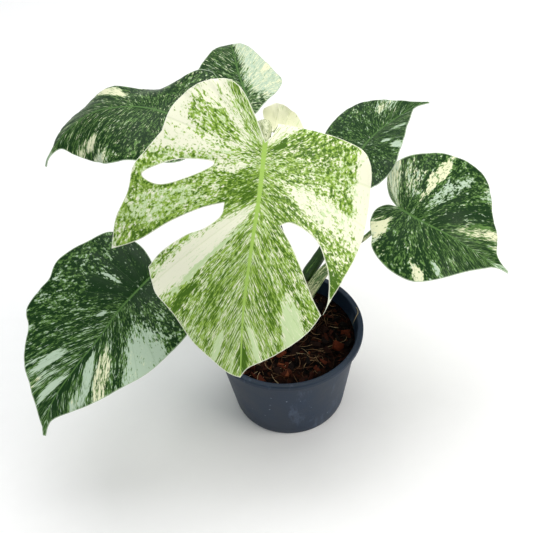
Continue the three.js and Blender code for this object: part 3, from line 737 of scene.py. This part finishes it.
def stalk_skin(name, pale, mid, dark, share):
    """Smooth living stalk with a waxy skin: streaks of pale and dark green run along it."""
    material, tree = start_material(name)
    skin = add(tree, "Attribute", output=1, attribute_name="skin")
    # Streaks about 1.2 mm wide and 18 mm long, under flecks 0.7 mm wide and 2 mm long.
    long_way = add(tree, "Mapping", {"Vector": skin, "Scale": (800, 800, 55)})
    streaks = add(tree, "TexNoise", {"Vector": long_way, "Scale": 1, "Detail": 3, "Roughness": 0.6})
    short_way = add(tree, "Mapping", {"Vector": skin, "Scale": (1400, 1400, 500)})
    flecks = add(tree, "TexNoise", {"Vector": short_way, "Scale": 1, "Detail": 3, "Roughness": 0.6})
    span = {"From Min": share + 0.06, "From Max": share - 0.06}
    streak = add(tree, "MapRange", {"Value": streaks, **span})
    fleck = add(tree, "MapRange", {"Value": flecks, "From Min": 0.52, "From Max": 0.62})
    base = add(tree, "Mix", {0: streak, 6: linear(mid), 7: linear(pale)}, 2, data_type="RGBA")
    colour = add(tree, "Mix", {0: fleck, 6: base, 7: linear(dark)}, 2, data_type="RGBA")
    coat_with(tree, {"Base Color": colour, "Roughness": 0.42, "IOR": 1.42}, streaks, 0.00015)
    return material


def stem_skin():
    """Aroid stem: green rind turning corky and brown at the leaf scars."""
    material, tree = start_material("aroid_stem_rind")
    skin = add(tree, "Attribute", output=1, attribute_name="skin")
    long_way = add(tree, "Mapping", {"Vector": skin, "Scale": (500, 500, 90)})
    streaks = add(tree, "TexNoise", {"Vector": long_way, "Scale": 1, "Detail": 4, "Roughness": 0.65})
    along = add(tree, "SeparateXYZ", [skin], 2)
    # Leaf scars come every fifth of the stem's length.
    rate = 2 * math.pi * STEM_NODES / (open_rail(STEM_ROUTE).length * MM)
    turns = add(tree, "Math", [along, rate], operation="MULTIPLY")
    scar = add(tree, "Math", [turns], operation="COSINE")
    scarred = add(tree, "MapRange", {"Value": scar, "From Min": 0.75, "From Max": 0.98, "To Max": 0.8})
    dull, fresh = linear("#1f3312"), linear("#4d6b2f")
    rind = add(tree, "Mix", {0: streaks, 6: dull, 7: fresh}, 2, data_type="RGBA")
    colour = add(tree, "Mix", {0: scarred, 6: rind, 7: linear("#5a4a2e")}, 2, data_type="RGBA")
    coat_with(tree, {"Base Color": colour, "Roughness": 0.6, "IOR": 1.42}, streaks, 0.0004)
    return material


def marbled_blade(name, seed, tissue, marbling):
    """Variegated leaf tissue with a waxy skin: cream and mint sectors, flecked with green cells.

    marbling starts with the blade's usual share of green, of mint in its pale parts and of dark in its
    green ones. Each later row is a sector: vein, across, vein reach and across reach, then the shares.
    """
    material, tree = start_material(f"waxy_leaf_{name}")
    veins = add(tree, "Attribute", output=1, attribute_name="veins")
    grain = add(tree, "Attribute", output=1, attribute_name="grain")
    rugged = add(tree, "Mapping", {"Vector": grain, "Location": (0, 0, seed), "Scale": (130, 60, 0)})
    wander = add(tree, "TexNoise", {"Vector": rugged, "Scale": 1, "Detail": 4, "Roughness": 0.65}, 1)
    offset = add(tree, "VectorMath", [wander, (0.5, 0.5, 0.5)], operation="SUBTRACT")
    stray = add(tree, "VectorMath", [offset, (0.05, 0.012, 0)], operation="MULTIPLY")
    spot = add(tree, "VectorMath", [veins, stray], operation="ADD")
    shares = (*marbling[0], 1)
    for x, across, x_reach, across_reach, *sector in marbling[1:]:
        oval = {"Location": (x, across * MM, 0), "Scale": (x_reach, across_reach * MM, 1e4)}
        there = add(tree, "Mapping", {"Vector": spot, **oval}, vector_type="TEXTURE")
        inside = add(tree, "TexGradient", [there], 1, gradient_type="SPHERICAL")
        inside = add(tree, "Math", [inside, 2.2], operation="MULTIPLY", use_clamp=True)
        shares = add(tree, "Mix", {0: inside, 6: shares, 7: (*sector, 1)}, 2, data_type="RGBA")
    # Streaks of 5 by 14 mm along the veins, under ones of 2.4 by 5.5 mm and flecks of 1.1 by 2.2 mm.
    chance = (0, 0, 0, 1)
    for across_step, along_step, share in ((5, 14, 1.0), (2.4, 5.5, 0.62), (1.1, 2.2, 0.45)):
        scale = (1000 / across_step, 1000 / along_step, 0)
        way = add(tree, "Mapping", {"Vector": grain, "Location": (0, 0, seed), "Scale": scale})
        flecks = add(tree, "TexNoise", {"Vector": way, "Scale": 1, "Detail": 2, "Roughness": 0.6}, 1)
        chance = add(tree, "Mix", {0: share, 6: chance, 7: flecks}, 2, data_type="RGBA")
    # The larger a share is, the more of the noise passes its threshold; green has the sharpest border.
    level = add(tree, "VectorMath", [shares, (0.3, 0.3, 0.3), chance], operation="MULTIPLY_ADD")
    level = add(tree, "VectorMath", [level, (0.65, 0.65, 0.65)], operation="SUBTRACT")
    level = add(tree, "VectorMath", [level, (16, 10, 6)], operation="MULTIPLY")
    greener, mintier, darker = add(tree, "SeparateXYZ", [level]).node.outputs
    green = add(tree, "Math", [greener, 0.5], operation="ADD", use_clamp=True)
    mint = add(tree, "Math", [mintier, 0.5], operation="ADD", use_clamp=True)
    dark = add(tree, "Math", [greener, 0.45, darker], operation="MULTIPLY_ADD", use_clamp=True)
    cream, minty = linear(tissue["cream"]), linear(tissue["mint"])
    pale = add(tree, "Mix", {0: mint, 6: cream, 7: minty}, 2, data_type="RGBA")
    bright, deep = linear(tissue["light"]), linear(tissue["dark"])
    leafy = add(tree, "Mix", {0: dark, 6: bright, 7: deep}, 2, data_type="RGBA")
    flesh = add(tree, "Mix", {0: green, 6: pale, 7: leafy}, 2, data_type="RGBA")
    # Side veins every 13 mm: thin paler lines in shallow grooves.
    u, distance, edge = add(tree, "SeparateXYZ", [grain]).node.outputs
    turns = add(tree, "Math", [u, 2 * math.pi / (VEIN_SPACING * MM)], operation="MULTIPLY")
    wave = add(tree, "Math", [turns], operation="COSINE")
    vein = add(tree, "MapRange", {"Value": wave, "From Min": 0.965, "From Max": 0.998, "To Max": 0.14})
    along, _, side = add(tree, "SeparateXYZ", [veins]).node.outputs
    taper = {"To Min": tissue["rib_width"] * MM, "To Max": 0.3 * MM}
    rib_width = add(tree, "MapRange", {"Value": along, **taper})
    from_rib = add(tree, "Math", [rib_width, distance], operation="SUBTRACT")
    rib = add(tree, "MapRange", {"Value": from_rib, "From Min": -0.3 * MM, "From Max": 0.3 * MM})
    # A pale band on every margin, over the edge faces and up to 0.9 mm in, is a painted highlight.
    span = {"From Min": 0.9 * MM, "From Max": 0.2 * MM, "To Max": 0.8}
    rim = add(tree, "MapRange", {"Value": edge, **span})
    # The underside is duller and paler, because its skin holds air.
    under = add(tree, "MapRange", {"Value": side, "To Min": 0.45, "To Max": 0})
    for share, part in ((vein, "rib"), (rib, "rib"), (rim, "edge"), (under, "under")):
        flesh = add(tree, "Mix", {0: share, 6: flesh, 7: linear(tissue[part])}, 2, data_type="RGBA")
    gloss = add(tree, "MapRange", {"Value": side, "To Min": 0.6, "To Max": 0.36})
    groove = add(tree, "Math", [vein, -2.2], operation="MULTIPLY")
    skin = add(tree, "SeparateColor", [flecks])
    height = add(tree, "Math", [skin, 0.25, groove], operation="MULTIPLY_ADD")
    looks = {"Base Color": flesh, "Roughness": gloss, "IOR": 1.42, "Specular IOR Level": 0.2}
    coat_with(tree, looks, height, 0.0003)
    return material


# Studio: camera at the photo's place, soft boxes, and a pale floor

CAMERA_AT = (-12, -443, 596)
CAMERA_PITCH = 44.6
CAMERA_ROLL = -4.7
FOCAL_SHARE = 800 / 533
PLANT_MIDDLE = (0, 30, 150)


def make_camera():
    pitch, roll = math.radians(CAMERA_PITCH), math.radians(CAMERA_ROLL)
    forward = Vector((0, math.cos(pitch), -math.sin(pitch)))
    level_up = Vector((0, math.sin(pitch), math.cos(pitch)))
    level_right = Vector((1, 0, 0))
    right = level_right * math.cos(roll) + level_up * math.sin(roll)
    up = level_up * math.cos(roll) - level_right * math.sin(roll)
    data = bpy.data.cameras.new("camera")
    data.sensor_width = 36
    data.lens = 36 * FOCAL_SHARE
    camera = bpy.data.objects.new("camera", data)
    turn = Matrix((right, up, -forward)).transposed().to_4x4()
    camera.matrix_world = Matrix.Translation(Vector(CAMERA_AT) * MM) @ turn
    bpy.context.collection.objects.link(camera)
    bpy.context.scene.camera = camera


def soft_box(name, place, size, watts, colour):
    data = bpy.data.lights.new(name, "AREA")
    data.shape = "RECTANGLE"
    data.size, data.size_y = size
    data.energy = watts
    data.color = linear(colour)[:3]
    light = bpy.data.objects.new(name, data)
    light.location = Vector(place)
    aim = Vector(PLANT_MIDDLE) * MM - light.location
    light.rotation_euler = aim.to_track_quat("-Z", "Y").to_euler()
    bpy.context.collection.objects.link(light)


def make_studio():
    bpy.context.scene.view_settings.view_transform = "Standard"
    world = bpy.data.worlds.new("pale_room")
    world.use_nodes = True
    world.node_tree.nodes["Background"].inputs[0].default_value = linear("#f4f6f8")
    world.node_tree.nodes["Background"].inputs[1].default_value = 0.5
    bpy.context.scene.world = world
    soft_box("key", (1.0, -0.45, 0.9), (0.8, 0.8), 8, "#fffaf2")
    soft_box("fill", (-1.0, -0.8, 1.0), (1.0, 1.0), 1.5, "#f2f7ff")
    soft_box("top", (0.0, 0.5, 1.5), (1.6, 1.2), 17, "#ffffff")
    material, tree = start_material("painted_floor")
    place = add(tree, "TexCoord", output=3)
    speckle = add(tree, "TexNoise", {"Vector": place, "Scale": 60, "Detail": 3})
    white, whiter = linear("#fafafa"), linear("#fefefe")
    colour = add(tree, "Mix", {0: speckle, 6: white, 7: whiter}, 2, data_type="RGBA")
    coat_with(tree, {"Base Color": colour, "Roughness": 0.85}, speckle, 0.00002)
    bm = bmesh.new()
    bmesh.ops.create_grid(bm, x_segments=2, y_segments=2, size=6)
    mesh = bpy.data.meshes.new("floor")
    bm.to_mesh(mesh)
    bm.free()
    mesh.materials.append(material)
    floor = bpy.data.objects.new("floor", mesh)
    bpy.context.collection.objects.link(floor)


# Pot and potting mix

RIM_CORNER = 1.1
POT_SIDES = 120
SOIL_SIDES = 150
SOIL_RINGS = 64
SOIL_FADE = 1.5
CRUMB_SIZE = 4.5
CRUMB_HEIGHT = 0.9


def pot_radius(height):
    return POT_BASE + (POT_BODY_TOP - POT_BASE) * height / (POT_HEIGHT - LIP_DROP)


def make_pot():
    top = POT_HEIGHT
    corner = RIM_CORNER
    angles = (0, math.pi / 6, math.pi / 3, math.pi / 2)
    quarter = [(corner * math.sin(a), corner * math.cos(a)) for a in angles]
    outer = [(POT_RIM - corner + x, top - corner + y) for x, y in quarter[::-1]]
    mouth = [(POT_MOUTH + corner - x, top - corner + y) for x, y in quarter]
    wall = [(pot_radius(h), h) for h in (2.5, 8, 20, 35, 50, 65, 78)]
    lining = [(pot_radius(h) - POT_WALL, h) for h in (80, 60, 40, 20, POT_FLOOR + 1)]
    profile = [
        (0, 0), (30, 0), (POT_BASE - 2, 0), (POT_BASE - 0.6, 0.5), (POT_BASE, 1.4),
        *wall,
        (POT_BODY_TOP, top - LIP_DROP), (POT_BODY_TOP + 0.2, top - POT_WALL - 0.4),
        (POT_BODY_TOP + 0.8, top - POT_WALL), (POT_RIM - POT_WALL - 0.5, top - POT_WALL),
        (POT_RIM - POT_WALL, top - POT_WALL - 0.5), (POT_RIM - POT_WALL, top - LIP_DROP + 0.3),
        (POT_RIM - POT_WALL / 2, top - LIP_DROP), (POT_RIM, top - LIP_DROP + 0.3),
        *outer, *mouth,
        (POT_MOUTH, top - 3),
        *lining,
        (pot_radius(POT_FLOOR) - POT_WALL - 1, POT_FLOOR), (DRAIN_CIRCLE, POT_FLOOR), (0, POT_FLOOR),
    ]
    bm = turned(profile, POT_SIDES)
    pot = finish_piece("nursery_pot", bm, pot_plastic(), "pot")
    drills = bmesh.new()
    for k in range(DRAIN_HOLES):
        angle = 2 * math.pi * (k + 0.5) / DRAIN_HOLES
        place = Matrix.Translation(Vector((math.cos(angle), math.sin(angle), 0)) * DRAIN_CIRCLE * MM)
        bmesh.ops.create_cone(
            drills, cap_ends=True, segments=28, matrix=place,
            radius1=DRAIN_RADIUS * MM, radius2=DRAIN_RADIUS * MM, depth=3 * POT_FLOOR * MM,
        )
    mesh = bpy.data.meshes.new("drills")
    drills.to_mesh(mesh)
    drills.free()
    cutter = bpy.data.objects.new("drills", mesh)
    bpy.context.collection.objects.link(cutter)
    cut = pot.modifiers.new("drain_holes", "BOOLEAN")
    cut.object = cutter
    cut.solver = "EXACT"
    bpy.context.view_layer.update()
    drilled = bpy.data.meshes.new_from_object(pot.evaluated_get(bpy.context.evaluated_depsgraph_get()))
    pot.modifiers.clear()
    pot.data = drilled
    bpy.data.objects.remove(cutter)


def make_lumps():
    """The same soft lumps as the solid soil has, from the same seeded sequence."""
    state = 7
    limit = 2**32
    draws = []
    for _ in range(SOIL_LUMPS * 4):
        state = (state * 1664525 + 1013904223) % limit
        draws.append(state / limit)
    lumps = []
    for a, b, c, d in zip(*[iter(draws)] * 4):
        radius, angle = SOIL_RIM * math.sqrt(a), 2 * math.pi * b
        x, y = radius * math.cos(angle), radius * math.sin(angle)
        lumps.append((x, y, LUMP_HEIGHT * (c - 0.35), LUMP_SPREAD * (0.7 + 0.6 * d)))
    return lumps


def soil_height(x, y, lumps):
    lift = 0
    for lump_x, lump_y, height, spread in lumps:
        lift += height * math.exp(-((x - lump_x) ** 2 + (y - lump_y) ** 2) / spread**2)
    crumb = noise.fractal(Vector((x, y, 0)) / CRUMB_SIZE, 0.7, 2.1, 4) * CRUMB_HEIGHT
    return SOIL_LEVEL + lift + crumb


def make_soil(lumps):
    foot = POT_FLOOR + GAP
    side = [(pot_radius(height) - POT_WALL - GAP, height) for height in (foot, 40)]
    top = [(SOIL_RIM * (1 - k / SOIL_RINGS), SOIL_LEVEL) for k in range(SOIL_RINGS + 1)]
    bm = turned([(0, foot), *side, *top], SOIL_SIDES)
    for vert in bm.verts:
        if vert.co.z > SOIL_LEVEL - 1:
            rim_fade = min(1, (SOIL_RIM - vert.co.xy.length) / SOIL_FADE)
            vert.co.z += (soil_height(vert.co.x, vert.co.y, lumps) - SOIL_LEVEL) * rim_fade
    finish_piece("soil_bed", bm, potting_mix(), "soil")


def clear_of_stem(x, y):
    return math.hypot(x - STEM_FOOT[0], y - STEM_FOOT[1]) > STEM_ROOM


def make_bark(lumps):
    """Flat crooked chips of bark, 3 to 11 mm long, lying on the mix and half sunk in it."""
    rng = random.Random(11)
    bm = bmesh.new()
    tones_with_shade = []
    while len(tones_with_shade) < BARK_CHIPS:
        radius, angle = (SOIL_RIM - 4) * math.sqrt(rng.random()), 2 * math.pi * rng.random()
        x, y = radius * math.cos(angle), radius * math.sin(angle)
        if not clear_of_stem(x, y):
            continue
        length = 2.6 + 8 * rng.random() ** 2.2
        chip = bmesh.ops.create_cube(bm, size=1)["verts"]
        width, thickness = length * rng.uniform(0.35, 0.7), length * rng.uniform(0.15, 0.35)
        bmesh.ops.scale(bm, vec=(length, width, thickness), verts=chip)
        for vert in chip:
            vert.co += Vector([rng.uniform(-0.14, 0.14) * length for _ in range(3)])
        turn = Matrix.Rotation(rng.uniform(0, 2 * math.pi), 3, "Z")
        tip = Matrix.Rotation(rng.gauss(0, 0.45), 3, "Y")
        roll = Matrix.Rotation(rng.gauss(0, 0.45), 3, "X")
        bmesh.ops.rotate(bm, cent=(0, 0, 0), matrix=turn @ tip @ roll, verts=chip)
        bmesh.ops.translate(bm, vec=(x, y, soil_height(x, y, lumps) + 0.1 * length), verts=chip)
        # Random tones, darker towards +X as painted shade, lighter and redder towards the front.
        tones_with_shade.append(min(max(rng.random() ** 1.6 - 0.006 * x - 0.002 * y, 0), 1))
    layer = bm.verts.layers.float.new("chip")
    for i, vert in enumerate(bm.verts):
        vert[layer] = tones_with_shade[i // 8]
    bmesh.ops.bevel(
        bm, geom=bm.edges[:], offset=0.35, offset_type="OFFSET", affect="EDGES",
        segments=1, profile=0.5, material=-1,
    )
    layer = bm.verts.layers.float["chip"]
    tone = [(vert[layer], 0, 0) for vert in bm.verts]
    material = loose_bits("pine_bark", ("#080403", "#1d0d07", "#34150a", "#51200e", "#6b3a22"), 0.85)
    finish_piece("bark_chips", bm, material, layers=[("tone", tone)])


def strand(bm, places, radius):
    """Adds one thin fibre with thinner ends to bm and gives the number of its vertices."""
    thick = (radius * 0.4, radius, radius, radius, radius * 0.4)
    fibre, _ = tube(places, thick, thick, 5, 3)
    mesh = bpy.data.meshes.new("strand")
    fibre.to_mesh(mesh)
    fibre.free()
    bm.from_mesh(mesh)
    count = len(mesh.vertices)
    bpy.data.meshes.remove(mesh)
    return count


def make_fibres(lumps):
    """Coir: stiff curled hairs 0.4 mm thick, scattered over the mix; a pale one hangs over the rim."""
    rng = random.Random(23)
    bm = bmesh.new()
    tone = []
    made = 0
    while made < COIR_FIBRES:
        radius, angle = (SOIL_RIM - 5) * math.sqrt(rng.random()), 2 * math.pi * rng.random()
        x, y = radius * math.cos(angle), radius * math.sin(angle)
        heading = rng.uniform(0, 2 * math.pi)
        curl = rng.gauss(0, 0.32)
        lift = rng.uniform(0.2, 1.6)
        step = rng.uniform(1.6, 3.4)
        places = []
        for k in range(7):
            if math.hypot(x, y) > SOIL_RIM - 2 or not clear_of_stem(x, y):
                break
            arch = lift * math.sin(math.pi * (k + 0.5) / 7)
            places.append(Vector((x, y, soil_height(x, y, lumps) + 0.3 + arch)))
            x += step * math.cos(heading)
            y += step * math.sin(heading)
            heading += curl
        if len(places) < 5:
            continue
        # Random tones, darker towards +X as painted shade, as on the bark.
        shade = min(max(rng.random() - 0.004 * x, 0), 1)
        tone += [(shade, 0, 0)] * strand(bm, places, rng.uniform(0.16, 0.32))
        made += 1
    rim_fibre = [(57, 1, 82), (59.5, 3, 87.6), (61.6, 6, 88.6), (62.2, 10, 88.5), (61, 14, 88.4)]
    tone += [(1, 0, 0)] * strand(bm, rim_fibre, 0.35)
    material = loose_bits("coir_fibre", ("#24150c", "#4a3220", "#7a6247", "#a89878"), 0.8)
    finish_piece("coir_fibres", bm, material, layers=[("tone", tone)])


# Stem and stalks

def make_stem():
    steps = STEM_NODES * 12
    swelling = [0.5 * math.cos(2 * math.pi * k / 12) for k in range(steps + 1)]
    radius = [along_list(STEM_RADIUS, k / steps) + swell for k, swell in enumerate(swelling)]
    bm, skin = tube(STEM_ROUTE, radius, radius, 36, 1.2)
    finish_piece("main_stem", bm, stem_skin(), "stem", [("skin", skin)])


def make_stalk(name, leaf, material):
    blade = Blade(leaf)
    sink = blade.normal(0, 0) * (leaf["depth"][-1] - 0.5)
    seat = blade.place(0, 0) - sink
    route = [*leaf["route"], tuple(seat)]
    width = (*leaf["width"], leaf["width"][-1] * 0.6)
    depth = (*leaf["depth"], leaf["depth"][-1] * 0.6)
    bm, skin = tube(route, width, depth)
    finish_piece(f"stalk_{name}", bm, material, f"petiole_{name}", [("skin", skin)])


make_camera()
make_studio()
make_pot()
soil_lumps = make_lumps()
make_soil(soil_lumps)
make_bark(soil_lumps)
make_fibres(soil_lumps)
make_stem()

speckled_stalk = stalk_skin("speckled_stalk", "#d3d8b4", "#aab485", "#62773c", 0.56)
striped_stalk = stalk_skin("striped_stalk", "#c9cf9f", "#5d7d45", "#2c4a1f", 0.5)
green_stalk = stalk_skin("green_stalk", "#557a35", "#25451a", "#152c0f", 0.36)
STALKS = {"front": speckled_stalk, "right": striped_stalk}

for number, (name, leaf) in enumerate(LEAVES.items()):
    seed = number * 7.3
    skin = marbled_blade(name, seed, TISSUES[leaf["tissue"]], leaf["marbling"])
    leaf_piece(name, leaf, skin, seed)
    make_stalk(name, leaf, STALKS.get(name, green_stalk))
